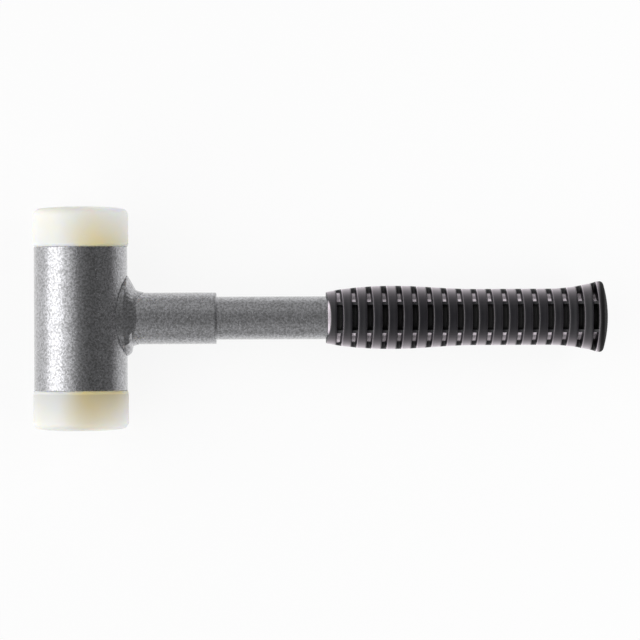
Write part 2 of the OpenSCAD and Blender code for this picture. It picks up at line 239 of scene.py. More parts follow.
class PocketSizes(PropertyGroup):
    """Sizes of the pockets in the grip."""

    rows: count("Rows", "Number of rows of pockets", 18, least=2)
    pitch: length("Pitch", "Distance from one row to the next", 7.84 * MM)
    first: length("First row", "Distance from the lip to the middle of the first row", 7.8 * MM)
    width: length("Width", "Width of a pocket along the handle", 3.25 * MM)
    middle_half: length("Middle half width", "Half width of the middle pocket across the handle", 6.6 * MM)
    web: length("Web", "Width of the top of the web on each side of the middle pocket", 1.6 * MM)
    web_drop: length("Web drop", "How far the top of that web lies below the ribs", 1.1 * MM)
    web_flank: length("Web flank", "Run of that web's outer flank from its top to the floor", 1.0 * MM)
    web_round: length("Web rounding", "Rounding of that web's edges", 0.3 * MM)
    parting_half: length("Parting web", "Half width of the parting web's flush top", 1.6 * MM)
    parting_round: length("Parting web rounding", "Radius of the parting web's rounded flanks", 4 * MM)
    middle_floor: length("Middle floor", "Radius of the middle pockets' floor", 12.05 * MM)
    first_floor: length("First floor", "Radius of the side pockets' floor in the first row", 13.3 * MM)
    last_floor: length("Last floor", "Radius of the side pockets' floor in the last row", 12.4 * MM)
    dish: length("Dish", "How far the middle of a rib's top lies below its edges", 0.1 * MM)
    edge_round: length("Edge rounding", "Rounding of the ribs' edges", 0.7 * MM)
    floor_round: length("Floor rounding", "Rounding at a pocket's floor", 0.4 * MM)
    near_draft: length("Near draft", "Run of a pocket's wall on the head's side", 0.1 * MM)
    far_draft: length("Far draft", "Run of a pocket's wall on the butt's side", 0.9 * MM)
    near_bow: length("Near bow", "How far a row's near edge bows towards the head at the sides", 0.7 * MM)
    far_bow: length("Far bow", "How far a row's far edge bows towards the head at the sides", 1.3 * MM)
    # Painted reflection on the side pockets' floors and painted glint on the edge after a pocket.
    floor_bloom: number("Floor bloom", "Bloom on the side pockets' floors, against the ribs'", 3)
    bloom_end: factor("Floor bloom's end", "Share of the floor's radius at which that bloom ends", 0.97)
    rim_bloom: number("Rim bloom", "Bloom on the edge after a pocket, against the ribs'", 2.5)


class ShotSizes(PropertyGroup):
    """Sizes of the loose shot charge."""

    ball_radius: length("Ball radius", "Radius of one ball", 3 * MM)
    pitch: length("Pitch", "Distance between neighbouring balls", 6.1 * MM)
    wall_gap: length("Wall gap", "Gap between the balls and the chamber", 0.15 * MM)
    layers: count("Layers", "Number of layers along the head", 7)
    rows: count("Rows", "Number of rows in a layer", 5)
    ball_sides: count("Ball sides", "Number of sides round a ball", 8, least=3)
    ball_rings: count("Ball rings", "Number of rings from pole to pole", 7, least=3)


class Finishes(PropertyGroup):
    """Colours and gloss of the finishes."""

    paint_light: colour("Paint, light", "Bright flakes of the hammered paint", (0.518, 0.518, 0.54))
    paint_dark: colour("Paint, dark", "Dark hollows of the hammered paint", (0.26, 0.26, 0.266))
    paint_metal: factor("Paint, metal", "How metallic the paint looks", 0.98)
    paint_scale: number("Paint, scale", "Ridges of the hammered paint in a metre", 950)
    paint_relief: length("Paint, relief", "Height of the ridges", 0.11 * MM)
    nylon: colour("Nylon", "Ivory of the striking inserts", (0.83, 0.832, 0.795))
    # Painted shade: the amber that the inserts take on their side away from the soft box.
    nylon_core: colour("Nylon, core", "Amber of the inserts' core", (0.89, 0.735, 0.35))
    # Painted shade: the tint that darkens the inserts towards the foot and on the lower insert's handle side.
    nylon_dull: colour("Nylon, dull", "Tint that dulls the inserts' feet", (0.2, 0.205, 0.21))
    # Painted edge light: the pale tint of the outer edge on the handle's side.
    nylon_pale: colour("Nylon, pale", "Tint of the outer edge on the handle's side", (0.97, 0.975, 0.955))
    nylon_depth: length("Nylon, depth", "How far light spreads in the nylon", 5 * MM)
    rubber: colour("Rubber", "Black of the grip", (0.0075, 0.007, 0.0095))
    rubber_worn: colour("Rubber, worn", "Faded patches of the grip", (0.012, 0.011, 0.014))
    # Painted shade: the black of the deep pockets and the butt.
    rubber_hollow: colour("Rubber, hollows", "Black of the deep pockets", (0.003, 0.003, 0.003))
    # Partly dust and partly painted sheen, reflection and glint, seen at a slant.
    rubber_bloom: colour("Rubber, bloom", "Dusty bloom on the grip, seen at a slant", (0.90, 0.80, 0.88))
    bloom_slant: number("Bloom's slant", "How late the bloom shows as the view slants", 2.2)
    steel: colour("Steel", "Bright steel of the discs and the shot", (0.58, 0.57, 0.55))
    steel_dark: colour("Steel, dark", "Dark streaks in the steel's grain", (0.435, 0.4275, 0.4125))


class StageSettings(PropertyGroup):
    """Camera, lights and floor."""

    camera_height: length("Camera height", "Height of the camera above the handle's axis", 2.094)
    camera_x: position("Camera X", "Camera's place along the handle", -0.16 * MM)
    camera_y: position("Camera Y", "Camera's place along the head", -1.2 * MM)
    camera_roll: degrees("Camera roll", "Roll of the camera", -0.25)
    lens: number("Lens", "Focal length in millimetres", 225)
    floor_half: length("Floor", "Half width of the floor", 4)
    floor_colour: colour("Floor colour", "Colour of the floor", (0.86, 0.86, 0.86))
    floor_glow: factor("Floor glow", "Share of white in what the camera and gloss see of the floor", 0.88)
    # Painted shade: the floor's darkening in reflections stands in for the head's shadow on the table.
    floor_polish: factor("Floor polish", "How much the floor darkens at a slant, in reflections", 0.75)
    polish_slant: number("Polish's slant", "How late the floor darkens as the reflection slants", 3)
    polish_start: position("Polish start", "Place along the handle where that darkening starts", -0.2)
    polish_full: position("Polish full", "Place along the handle where that darkening is full", -0.1)
    key_radiance: number("Key light", "Radiance of the soft box", 1.35)
    key_width: length("Key width", "Width of the soft box", 1.6)
    key_height: length("Key height", "Height of the soft box", 0.8)
    key_x: position("Key X", "Place of the soft box along the handle", -1.05)
    key_y: position("Key Y", "Place of the soft box along the head", -0.25)
    key_z: position("Key Z", "Height of the soft box's middle", 0.54)
    fill_radiance: number("Fill light", "Radiance of the fill panel", 3.6)
    fill_width: length("Fill width", "Width of the fill panel", 1.4)
    fill_height: length("Fill height", "Height of the fill panel", 0.6)
    fill_x: position("Fill X", "Place of the fill panel along the handle", 1.0)
    fill_z: position("Fill Z", "Height of the fill panel's middle", 0.8)
    sky_side: factor("Room, sides", "Radiance of the room across the soft box's direction", 0.42)
    sky_top: factor("Room, ceiling", "Share of that radiance that is left straight above", 0.48)
    sky_far: factor("Room, far side", "Share of that radiance that is left opposite the soft box", 0.4)
    sky_wall: factor("Room, wall", "Radiance that the wall behind the soft box adds", 0.78)
    ceiling_edge: factor("Ceiling's edge", "Upward part of the direction at which the ceiling starts", 0.6)
    far_edge: factor("Far side's edge", "Part along the handle at which the far side is full", 0.6)
    wall_edge: factor("Wall's edge", "Part towards the soft box at which its wall starts", 0.05)
    wall_full: factor("Wall's middle", "Part towards the soft box at which its wall is full", 0.45)


def round_head(along, radius, angle):
    """Points at a distance along the head's axis, turned about it by an angle that starts at +X."""
    x = HEAD_X + radius * np.cos(angle)
    z = AXIS_Z + radius * np.sin(angle)
    return np.stack(np.broadcast_arrays(x, along, z), axis=-1)


def round_handle(along, radius, angle):
    """Points at a distance from the head's axis along the handle, turned about it by an angle from +Y."""
    y = radius * np.cos(angle)
    z = AXIS_Z + radius * np.sin(angle)
    return np.stack(np.broadcast_arrays(HEAD_X + along, y, z), axis=-1)


def full_turn(sides):
    """Angles of one full turn, as a row."""
    return np.linspace(0, 2 * math.pi, sides, endpoint=False)[None, :]


def grid_faces(rows, columns, ring_rows=False):
    """Quads between neighbouring points of a grid whose columns close into a ring, and its rows if asked."""
    i = np.arange(rows if ring_rows else rows - 1)[:, None]
    j = np.arange(columns)[None, :]
    next_i = (i + 1) % rows
    next_j = (j + 1) % columns
    corners = [i * columns + j, i * columns + next_j, next_i * columns + next_j, next_i * columns + j]
    return np.stack(corners, axis=-1).reshape(-1, 4)


def add_object(name, data):
    """A new object in the scene, at the origin."""
    made = bpy.data.objects.new(name, data)
    bpy.context.scene.collection.objects.link(made)
    return made


def add_piece(name, points, faces, sharp_angle=math.radians(38), attributes=None):
    """A mesh object at the origin from points and quads: points that fall together are merged, which turns
    quads at a pole into triangles, and the faces point outwards. Attributes hold one number per point."""
    mesh = bpy.data.meshes.new(name)
    mesh.from_pydata(points.reshape(-1, 3).tolist(), [], faces.tolist())
    for key, values in (attributes or {}).items():
        layer = mesh.attributes.new(key, "FLOAT", "POINT")
        layer.data.foreach_set("value", values.ravel().astype(np.float32))
    work = bmesh.new()
    work.from_mesh(mesh)
    bmesh.ops.remove_doubles(work, verts=work.verts, dist=MERGE_DISTANCE)
    bmesh.ops.recalc_face_normals(work, faces=work.faces)
    work.to_mesh(mesh)
    work.free()
    mesh.shade_smooth()
    mesh.set_sharp_from_angle(angle=sharp_angle)
    return add_object(name, mesh)


def turned(name, outline, axis, sides, hollow=False):
    """A turned piece: its outline of along and radius is carried round an axis. A hollow piece's outline
    closes on itself, and a solid one's starts and ends on the axis."""
    points = axis(outline[:, :1], outline[:, 1:], full_turn(sides))
    return add_piece(name, points, grid_faces(len(outline), sides, ring_rows=hollow))


def dress(context, piece, node, slot, body="hammer"):
    """Gives a piece its slot's finish, seats it on its body and lets it stand for a construction node."""
    piece.data.materials.append(finish(context, slot))
    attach(piece, body)
    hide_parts(node)


def arc_radius(run, rise):
    """Radius of the arc that leaves a straight line and departs from it by rise over a run."""
    return (run**2 + rise**2) / (2 * rise)


def arc_drop(radius, along):
    """Departure of such an arc from its line, at a distance along the line."""
    return radius - np.sqrt(np.maximum(radius**2 - along**2, 0))


def arc(centre, radius, start, end, steps=10):
    """Points on a circle about a centre, from one angle to another in degrees, as along and radius."""
    angle = np.radians(np.linspace(start, end, steps + 1))
    return np.stack([centre[0] + radius * np.cos(angle), centre[1] + radius * np.sin(angle)], axis=1)


def parabola(start, corner, end, t):
    """Points of a curve from start to end whose ends point at a corner, at the shares t of its way."""
    return (1 - t) ** 2 * start + 2 * t * (1 - t) * corner + t**2 * end


def softened(corners, rounding, steps=5, support=1.7):
    """An outline with its corners rounded: each is a parabola that leaves its two sides at the rounding's
    distance from the corner, with one more point further out on each side to keep the flats flat."""
    corners = np.asarray(corners, float)
    rounding = np.broadcast_to(np.asarray(rounding, float), len(corners))[:, None]

    def towards(shift):
        """A step of the rounding's length from each corner towards a neighbour."""
        step = np.roll(corners, shift, axis=0) - corners
        return step / np.maximum(np.linalg.norm(step, axis=1, keepdims=True), 1e-12) * rounding

    back, on = towards(1), towards(-1)
    t = np.linspace(0, 1, steps + 1)[None, :, None]
    rounded = parabola((corners + back)[:, None], corners[:, None], (corners + on)[:, None], t)
    before = corners + back * support
    after = corners + on * support
    return np.concatenate([before[:, None], rounded, after[:, None]], axis=1).reshape(-1, 2)


def new_finish(name):
    """A new material with its node tree and its shader."""
    material = bpy.data.materials.new(name)
    material.use_nodes = True
    tree = material.node_tree
    return material, tree, tree.nodes["Principled BSDF"]


def feed(node, inputs):
    """Fills a node's inputs by name or number: another node's output is linked, and a plain value is set."""
    for key, value in inputs.items():
        if isinstance(value, bpy.types.NodeSocket):
            node.id_data.links.new(value, node.inputs[key])
        else:
            node.inputs[key].default_value = value


def add_node(tree, kind, inputs=None, **settings):
    """A node with its settings and its inputs."""
    made = tree.nodes.new(kind)
    for key, value in settings.items():
        setattr(made, key, value)
    feed(made, inputs or {})
    return made


def own_place(tree):
    """The piece's own coordinates, in metres."""
    return add_node(tree, "ShaderNodeTexCoord").outputs["Object"]


def axes(tree, vector):
    """A vector's parts along X, Y and Z."""
    return add_node(tree, "ShaderNodeSeparateXYZ", {"Vector": vector}).outputs


def noise(tree, place, scale, detail=2.0, roughness=0.5, distortion=0.0):
    """Noise in the piece's own coordinates, with its scale in features per metre."""
    inputs = {"Vector": place, "Scale": scale, "Detail": detail}
    inputs |= {"Roughness": roughness, "Distortion": distortion}
    return add_node(tree, "ShaderNodeTexNoise", inputs).outputs["Fac"]


def ramp(tree, value, *stops):
    """A colour ramp over a value, from two stops of place and colour."""
    made = add_node(tree, "ShaderNodeValToRGB", {"Fac": value})
    for element, (place, shade) in zip(made.color_ramp.elements, stops):
        element.position = place
        element.color = (*shade, 1)
    return made.outputs["Color"]


def spread(tree, value, low, high, to_low, to_high, shape="LINEAR"):
    """A value moved from one range to another, and held at its ends."""
    inputs = {"Value": value, "From Min": low, "From Max": high, "To Min": to_low, "To Max": to_high}
    return add_node(tree, "ShaderNodeMapRange", inputs, interpolation_type=shape).outputs["Result"]


def smooth_step(tree, value, low, high, to_low, to_high):
    """A value moved from one range to another along a smooth step."""
    return spread(tree, value, low, high, to_low, to_high, "SMOOTHSTEP")


def by_noise(tree, value, at_low, at_high):
    """A value that follows a noise, over the range that holds most of it."""
    return spread(tree, value, 0.3, 0.7, at_low, at_high)


def combine(tree, operation, first, *others):
    """Values joined in turn by one operation; all but the first may be plain numbers."""
    for other in others:
        first = add_node(tree, "ShaderNodeMath", {0: first, 1: other}, operation=operation).outputs["Value"]
    return first


def times(tree, *values):
    """The product of some values."""
    return combine(tree, "MULTIPLY", *values)


def plus(tree, *values):
    """The sum of some values."""
    return combine(tree, "ADD", *values)


def mix_colour(tree, share, first, second):
    """A mix of two colours; the second is a plain colour. Sockets 6, 7 and 2 are the Mix node's colours."""
    inputs = {"Factor": share, 6: first, 7: (*second, 1)}
    return add_node(tree, "ShaderNodeMix", inputs, data_type="RGBA").outputs[2]


def bump(tree, height, distance, strength):
    """A normal bumped by a height."""
    inputs = {"Height": height, "Distance": distance, "Strength": strength}
    return add_node(tree, "ShaderNodeBump", inputs).outputs["Normal"]


def paint_finish(finishes):
    """Grey hammered enamel: bright winding ridges about a millimetre wide with dark hollows between them and
    a finer grain, under a clear coat that follows them."""
    material, tree, shader = new_finish("paint_finish")
    place = own_place(tree)
    grain_share = 0.15
    worms = noise(tree, place, finishes.paint_scale, detail=1.5, distortion=0.6)
    grain = noise(tree, place, scale=2600)
    ridges = plus(tree, times(tree, worms, 1 - grain_share), times(tree, grain, grain_share))
    normal = bump(tree, ridges, finishes.paint_relief, strength=1.0)
    feed(shader, {
        "Base Color": ramp(tree, ridges, (0.40, finishes.paint_dark), (0.60, finishes.paint_light)),
        "Roughness": by_noise(tree, worms, at_low=0.34, at_high=0.26),
        "Metallic": finishes.paint_metal,
        "Coat Weight": 1.0,
        "Coat Roughness": 0.2,
        "Normal": normal,
        "Coat Normal": normal,
    })
    return material


def nylon_finish(finishes):
    """Ivory nylon: a waxy, cloudy plastic that lets light in, with a little random amber cloud. The rest of
    its colour is painted light: painted shade turns it amber towards the head tube on the handle's side, away
    from the soft box, easing off at the outer edge; painted shade darkens it towards the foot, by the joint
    with the head tube, except on the bevel, which keeps a painted highlight; and a painted edge light makes
    the outer edge on the handle's side pale. The lower insert has more of the painted amber shade, stronger
    painted shade at the foot and a painted shadow on its handle's side."""
    material, tree, shader = new_finish("nylon_finish")
    place = own_place(tree)
    parts = axes(tree, place)
    height = combine(tree, "ABSOLUTE", parts["Y"], 0)

    def across(start, end, at_start, at_end):
        """A smooth step across the head, between two distances from its axis in millimetres."""
        return smooth_step(tree, parts["X"], HEAD_X + start * MM, HEAD_X + end * MM, at_start, at_end)

    def upwards(at_foot, at_top):
        """A value that changes evenly from an insert's foot to its striking face."""
        return spread(tree, height, HOUSING_HALF, INSERT_TOP, at_foot, at_top)

    def by_insert(on_upper, on_lower):
        """A value for each of the two inserts."""
        return smooth_step(tree, parts["Y"], -HOUSING_HALF, HOUSING_HALF, on_lower, on_upper)

    # Painted shade: amber on the side away from the soft box, towards the handle, easing off at the outer
    # edge, stronger towards the foot and on the lower insert.
    shaded_side = across(-11, 12, at_start=0, at_end=1)
    off_edge = across(15, 27, at_start=1, at_end=0.3)
    side = times(tree, shaded_side, off_edge, by_insert(on_upper=0.75, on_lower=1))
    depth = plus(tree, upwards(at_foot=1.25, at_top=0.05), by_insert(on_upper=0, on_lower=0.35))
    clouds = by_noise(tree, noise(tree, place, scale=70, detail=3.0), at_low=-0.08, at_high=0.08)
    amber = plus(tree, times(tree, depth, side), clouds)
    clouded_and_shaded = ramp(tree, amber, (0, finishes.nylon), (1, finishes.nylon_core))
    # Painted shade towards the foot, by the joint with the head tube, stronger on the lower insert; a painted
    # highlight keeps the bevel lighter; and a painted shadow falls on the lower insert's handle side.
    foot = times(tree, upwards(at_foot=0.375, at_top=0.04), by_insert(on_upper=0.25, on_lower=1))
    bevel, past_bevel = HOUSING_HALF + 1 * MM, HOUSING_HALF + 2.2 * MM
    shade_off_bevel = smooth_step(tree, height, bevel, past_bevel, to_low=0.3, to_high=1)
    lower_painted_shadow = times(tree, side, by_insert(on_upper=0, on_lower=0.13))
    dull = times(tree, plus(tree, foot, lower_painted_shadow), shade_off_bevel)
    shaded = mix_colour(tree, dull, clouded_and_shaded, finishes.nylon_dull)
    # Painted edge light: the outer edge on the handle's side is made pale.
    pale = times(tree, across(-5, 24, at_start=0, at_end=1), upwards(at_foot=0.1, at_top=1))
    feed(shader, {
        "Base Color": mix_colour(tree, pale, shaded, finishes.nylon_pale),
        "Roughness": by_noise(tree, noise(tree, place, scale=300), at_low=0.30, at_high=0.42),
        "Subsurface Weight": 1.0,
        "Subsurface Radius": (1.0, 0.8, 0.5),
        "Subsurface Scale": finishes.nylon_depth,
        "IOR": 1.53,
        "Normal": bump(tree, noise(tree, place, scale=500, detail=1.0), distance=0.03 * MM, strength=0.25),
    })
    return material


def rubber_finish(finishes):
    """Black moulded rubber with a satin skin and faintly faded patches. A paler colour that shows at a slant
    is partly dust and partly painted sheen; the sheen mask also carries painted reflections and painted
    glints, and painted shade makes the deep pockets and the butt dull black. The grip's attributes say where
    it is deep and where the sheen lies."""
    material, tree, shader = new_finish("rubber_finish")
    place = own_place(tree)
    patches = noise(tree, place, scale=120, detail=4.0, roughness=0.6)
    deep = add_node(tree, "ShaderNodeAttribute", attribute_name="deep").outputs["Fac"]
    dust_and_sheen = add_node(tree, "ShaderNodeAttribute", attribute_name="dust_and_sheen").outputs["Fac"]
    slant = add_node(tree, "ShaderNodeLayerWeight", {"Blend": 0.5}).outputs["Facing"]
    # Painted sheen, partly dust: paler at a slant where the grip's sheen mask lies; the mask also holds
    # painted reflections and glints.
    bloom = times(tree, combine(tree, "POWER", slant, finishes.bloom_slant), dust_and_sheen)
    skin = ramp(tree, patches, (0.35, finishes.rubber), (0.75, finishes.rubber_worn))
    # Painted shade: the deep pockets and the butt turn black.
    skin = mix_colour(tree, deep, skin, finishes.rubber_hollow)
    gloss = by_noise(tree, patches, at_low=0.32, at_high=0.40)
    hollow_dulling = 0.3
    feed(shader, {
        "Base Color": mix_colour(tree, bloom, skin, finishes.rubber_bloom),
        "Roughness": plus(tree, gloss, times(tree, deep, hollow_dulling)),
        "Normal": bump(tree, noise(tree, place, scale=2200), distance=0.04 * MM, strength=0.3),
    })
    return material


def steel_finish(finishes):
    """Bright steel with a fine brushed grain."""
    material, tree, shader = new_finish("steel_finish")
    inputs = {"Vector": own_place(tree), "Scale": (400, 400, 3000)}
    stretched = add_node(tree, "ShaderNodeMapping", inputs).outputs["Vector"]
    grain = noise(tree, stretched, scale=1.0, detail=3.0)
    feed(shader, {
        "Base Color": ramp(tree, grain, (0.3, finishes.steel_dark), (0.7, finishes.steel)),
        "Roughness": by_noise(tree, grain, at_low=0.22, at_high=0.36),
        "Metallic": 1.0,
    })
    return material


SLOT_FINISHES = {
    "hammered_paint": paint_finish,
    "ivory_nylon": nylon_finish,
    "black_rubber": rubber_finish,
    "bare_steel": steel_finish,
}


def finish(context, slot):
    """The material of a slot's finish, made on its first use."""
    maker = SLOT_FINISHES[slot]
    return bpy.data.materials.get(maker.__name__) or maker(context.scene.hammer_finishes)


class HAMMER_OT_head_tube(Operator):
    """Head tube: a turned tube with rounded ends, a seat with a snap groove at each end, and the chamber"""

    bl_idname = "hammer.head_tube"
    bl_label = "Head tube"

    def execute(self, context):
        head = context.scene.hammer_head
        groove = head.half - head.groove_middle
        slope = head.groove_width / 2
        shoulder = head.half - head.seat_depth
        floor_radius = head.seat_radius + head.groove_depth
        outer = softened(
            [[0, head.radius], [head.half, head.radius], [head.half, head.seat_radius]],
            [0, head.edge_round, 0],
        )
        inner = [
            [groove + slope, head.seat_radius],
            [groove + head.groove_crest, floor_radius],
            [groove - head.groove_crest, floor_radius],
            [groove - slope, head.seat_radius],
            [shoulder, head.seat_radius],
            [shoulder, head.chamber_radius],
            [0, head.chamber_radius],
        ]
        half = np.concatenate([outer, inner])
        outline = np.concatenate([half, half[::-1] * [-1, 1]])
        tube = turned("head_tube", outline, round_head, HEAD_SIDES, hollow=True)
        dress(context, tube, "head_housing", "hammered_paint")
        return {"FINISHED"}


class HAMMER_OT_inserts(Operator):
    """Two striking inserts: a spigot, a bevelled base, a plain side and a crowned face with a rounded edge"""

    bl_idname = "hammer.inserts"
    bl_label = "Striking inserts"

    def execute(self, context):
        insert = context.scene.hammer_insert
        head = context.scene.hammer_head
        base = head.half
        spigot = head.seat_radius - insert.fit_gap
        edge_radius = insert.radius - insert.edge_round
        edge_at = insert.top - insert.crown - insert.edge_round
        crown_run = edge_radius - insert.land_radius
        crown_arc = arc_radius(crown_run, insert.crown)
        crown_rows = 12
        foot = softened(
            [
                [insert.foot, 0],
                [insert.foot, spigot],
                [base, spigot],
                [base, head.radius],
                [base + insert.bevel_height, insert.radius],
                [edge_at, insert.radius],
            ],
            [0, insert.bevel_round, 0, insert.bevel_round, insert.bevel_round, 0],
        )
        edge = arc([edge_at, edge_radius], insert.edge_round, 90, 0)
        out = np.linspace(crown_run, 0, crown_rows)[1:]
        crown = np.stack([insert.top - arc_drop(crown_arc, out), insert.land_radius + out], axis=1)
        outline = np.concatenate([foot, edge, crown, [[insert.top, insert.land_radius / 2], [insert.top, 0]]])
        for name, side, node in (("upper_insert", 1, "upper_face"), ("lower_insert", -1, "lower_face")):
            piece = turned(name, outline * [side, 1], round_head, HEAD_SIDES)
            dress(context, piece, node, "ivory_nylon")
        return {"FINISHED"}


class HAMMER_OT_sleeve(Operator):
    """Sleeve: a tube with a rounded end, whose other end is cut to the head tube's curve"""

    bl_idname = "hammer.sleeve"
    bl_label = "Sleeve"

    def execute(self, context):
        handle = context.scene.hammer_handle
        head = context.scene.hammer_head
        angle = full_turn(HANDLE_SIDES)
        end = softened(
            [[0, handle.sleeve_radius], [handle.sleeve_end, handle.sleeve_radius],
             [handle.sleeve_end, handle.sleeve_bore], [0, handle.sleeve_bore]],
            [0, handle.sleeve_round, handle.bore_round, 0],
        )
        end = end[end[:, 0] > 0]
        # The rows of a wall lie close together at its cut end.
        share = np.array([0, 0.01, 0.05, 0.2, 0.4, 0.6, 0.8, 0.95])[:, None]
        surface = head.radius + handle.root_gap

        def wall(radius, stop):
            """Rows of a straight wall, from the head tube's curve to a stop near the sleeve's end."""
            saddle = np.sqrt(surface**2 - (radius * np.sin(angle)) ** 2)
            return saddle + (stop - saddle) * share, np.full((len(share), 1), radius)

        outside, outer = wall(handle.sleeve_radius, end[0, 0])
        inside, inner = wall(handle.sleeve_bore, end[-1, 0])
        along = np.concatenate([outside, np.repeat(end[:, :1], angle.size, axis=1), inside[::-1]])
        points = round_handle(along, np.concatenate([outer, end[:, 1:], inner]), angle)
        sleeve = add_piece("sleeve", points, grid_faces(len(along), angle.size, ring_rows=True))
        dress(context, sleeve, "neck_socket", "hammered_paint")
        return {"FINISHED"}


class HAMMER_OT_handle_tube(Operator):
    """Handle tube: a plain turned tube from inside the sleeve to the butt"""

    bl_idname = "hammer.handle_tube"
    bl_label = "Handle tube"

    def execute(self, context):
        handle = context.scene.hammer_handle
        inner = handle.tube_radius - handle.tube_wall
        outline = softened(
            [[handle.tube_start, handle.tube_radius], [handle.tube_end, handle.tube_radius],
             [handle.tube_end, inner], [handle.tube_start, inner]],
            handle.bore_round,
        )
        pipe = turned("handle_pipe", outline, round_handle, HANDLE_SIDES, hollow=True)
        dress(context, pipe, "handle_tube", "hammered_paint")
        return {"FINISHED"}


def midpoint_spline(controls, steps):
    """Curve through the middles of a control polygon's sides, rounded at each control by a parabola. The
    controls are rows of columns of points, so one call bends the curve of every column."""
    middles = (controls[:-1] + controls[1:]) / 2
    t = np.linspace(0, 1, steps, endpoint=False)[None, :, None, None]
    curve = parabola(middles[:-1, None], controls[1:-1, None], middles[1:, None], t)
    rows = curve.reshape(-1, *controls.shape[1:])
    return np.concatenate([controls[:1], rows, middles[-1:], controls[-1:]])


class HAMMER_OT_weld(Operator):
    """Fillet weld: a curve that climbs from the head tube, turns over a shoulder and slopes to a toe on the
    sleeve, carried round the sleeve with a reach that follows an ellipse on each side, and folded where the
    bead starts and ends"""

    bl_idname = "hammer.weld"
    bl_label = "Weld"

    def controls(self, weld, surface, sleeve, root, angle, crisp=0.12, search_steps=24):
        """Controls of the weld's curve at each angle round the sleeve: foot, shoulder, sloping face and toe.
        The rim is an ellipse on each side, which wavers by three sine waves and has the fold as a bell curve.
        Across the head the shoulder drops and the rim leans, and the slope ends earlier between its four
        sides. The smaller crisp is, the tighter the curve turns at its corners."""
        lower = np.maximum(-np.cos(angle), 0) ** 2
        aside = np.sin(angle) ** 2
        reach = np.where(np.cos(angle) > 0, weld.upper_reach, weld.lower_reach)
        rim = 1 / np.hypot(np.cos(angle) / (sleeve + reach), np.sin(angle) / (sleeve + weld.side_reach))
        share = (rim - sleeve) / weld.upper_reach
        # Each wave has its number round the sleeve, its height and its phase.
        waves = (3, 1.0, 1.1), (7, 0.6, 2.3), (13, 0.4, 0.4)
        waver = sum(height * np.sin(number * angle + phase) for number, height, phase in waves)
        from_fold = (np.minimum(angle, 2 * math.pi - angle) - weld.fold_at) / weld.fold_width
        fold = weld.fold * np.exp(-(from_fold**2))
        rim = rim + weld.waver * waver * share + fold
        lean = np.tan(weld.lean * aside)
        shoulder = surface - weld.side_drop * aside
        slope_end = surface + weld.height + (weld.lower_height - weld.height) * lower
        slope_end = slope_end - weld.corner_dip * np.sin(2 * angle) ** 2
        bulge = weld.lower_bulge * lower + fold / 2
        # The foot, where the leaning rim meets the head tube, is found step by step.
        foot = shoulder
        for _ in range(search_steps):
            foot_radius = rim + (shoulder - foot) * lean
            foot = np.minimum(np.sqrt(surface**2 - (foot_radius * np.sin(angle)) ** 2), shoulder)

        def corner(along, radius):
            """One control at every angle, from its place along the handle and its distance from the axis."""
            return np.stack(np.broadcast_arrays(along, radius), axis=-1)[0]

        low = corner(foot, foot_radius)
        top = corner(shoulder, rim)
        end = corner(slope_end, root + weld.toe_rise * share)
        toe = corner(slope_end + weld.toe_length * share, root + weld.toe_edge * share)
        middle = (top + end) / 2 + bulge[0, :, None]
        return np.stack([
            low,
            top + (low - top) * crisp,
            top,
            top + (middle - top) * crisp,
            middle,
            end + (middle - end) * crisp * 2,
            end,
            (end + toe) / 2,
            toe,
        ])

    def ripples(self, weld, rows, angle, start=0.3, run=0.5, lag=5):
        """Ripples across the bead: a sine wave round the sleeve that lags towards the toe. They swell and
        fade as the square of half a sine wave, which starts at a share of the curve and runs over another."""
        share = np.linspace(0, 1, rows)[:, None]
        window = np.sin(math.pi * np.clip((share - start) / run, 0, 1)) ** 2
        return weld.ripple * window * np.sin(weld.ripple_count * angle + lag * share)

    def execute(self, context):
        weld = context.scene.hammer_weld
        handle = context.scene.hammer_handle
        head = context.scene.hammer_head
        angle = full_turn(WELD_SIDES)
        surface = head.radius + handle.root_gap
        root = handle.sleeve_radius + handle.root_gap
        curve = midpoint_spline(self.controls(weld, surface, handle.sleeve_radius, root, angle), steps=5)
        ripples = self.ripples(weld, len(curve), angle)
        along = curve[..., 0] + ripples
        radius = curve[..., 1] + ripples
        saddle = np.sqrt(surface**2 - (root * np.sin(angle)) ** 2)
        along = np.concatenate([along, along[-1:], saddle])
        radius = np.concatenate([radius, np.full((2, angle.size), root)])
        points = round_handle(along, radius, angle)
        bead = add_piece("weld_bead", points, grid_faces(len(along), angle.size, ring_rows=True))
        dress(context, bead, "weld_seam", "hammered_paint")
        return {"FINISHED"}


def grip_radius(grip, along):
    """Radius of the grip at a distance from its lip: an arc up to the palm bulge, half a cosine wave down to
    the waist, the straight waist, and an arc that flares to the rim."""
    front_arc = arc_radius(grip.bulge_at, grip.bulge_radius - grip.lip_radius)
    flare_arc = arc_radius(grip.rim_at - grip.flare_at, grip.rim_radius - grip.waist_radius)
    front = grip.bulge_radius - arc_drop(front_arc, grip.bulge_at - along)
    share = (along - grip.bulge_at) / (grip.waist_at - grip.bulge_at)
    fall = grip.waist_radius + (grip.bulge_radius - grip.waist_radius) * (1 + np.cos(math.pi * share)) / 2
    flare = grip.waist_radius + arc_drop(flare_arc, along - grip.flare_at)
    places = [along < grip.bulge_at, along < grip.waist_at, along < grip.flare_at]
    return np.select(places, [front, fall, np.full_like(along, grip.waist_radius)], flare)


def edge_offsets(rim, floor, draft):
    """Places of the grid lines at a hollow's edge, as distances outside it: close together on the rim's
    rounding, one at the foot of the wall, and a few on the floor's rounding."""
    on_rim = rim * (1 - np.sin(np.radians([0, 22.5, 45, 67.5, 90])))
    on_floor = floor * (np.cos(np.radians([0, 30, 60, 90])) - 1) - draft
    return np.concatenate([on_rim, on_floor])


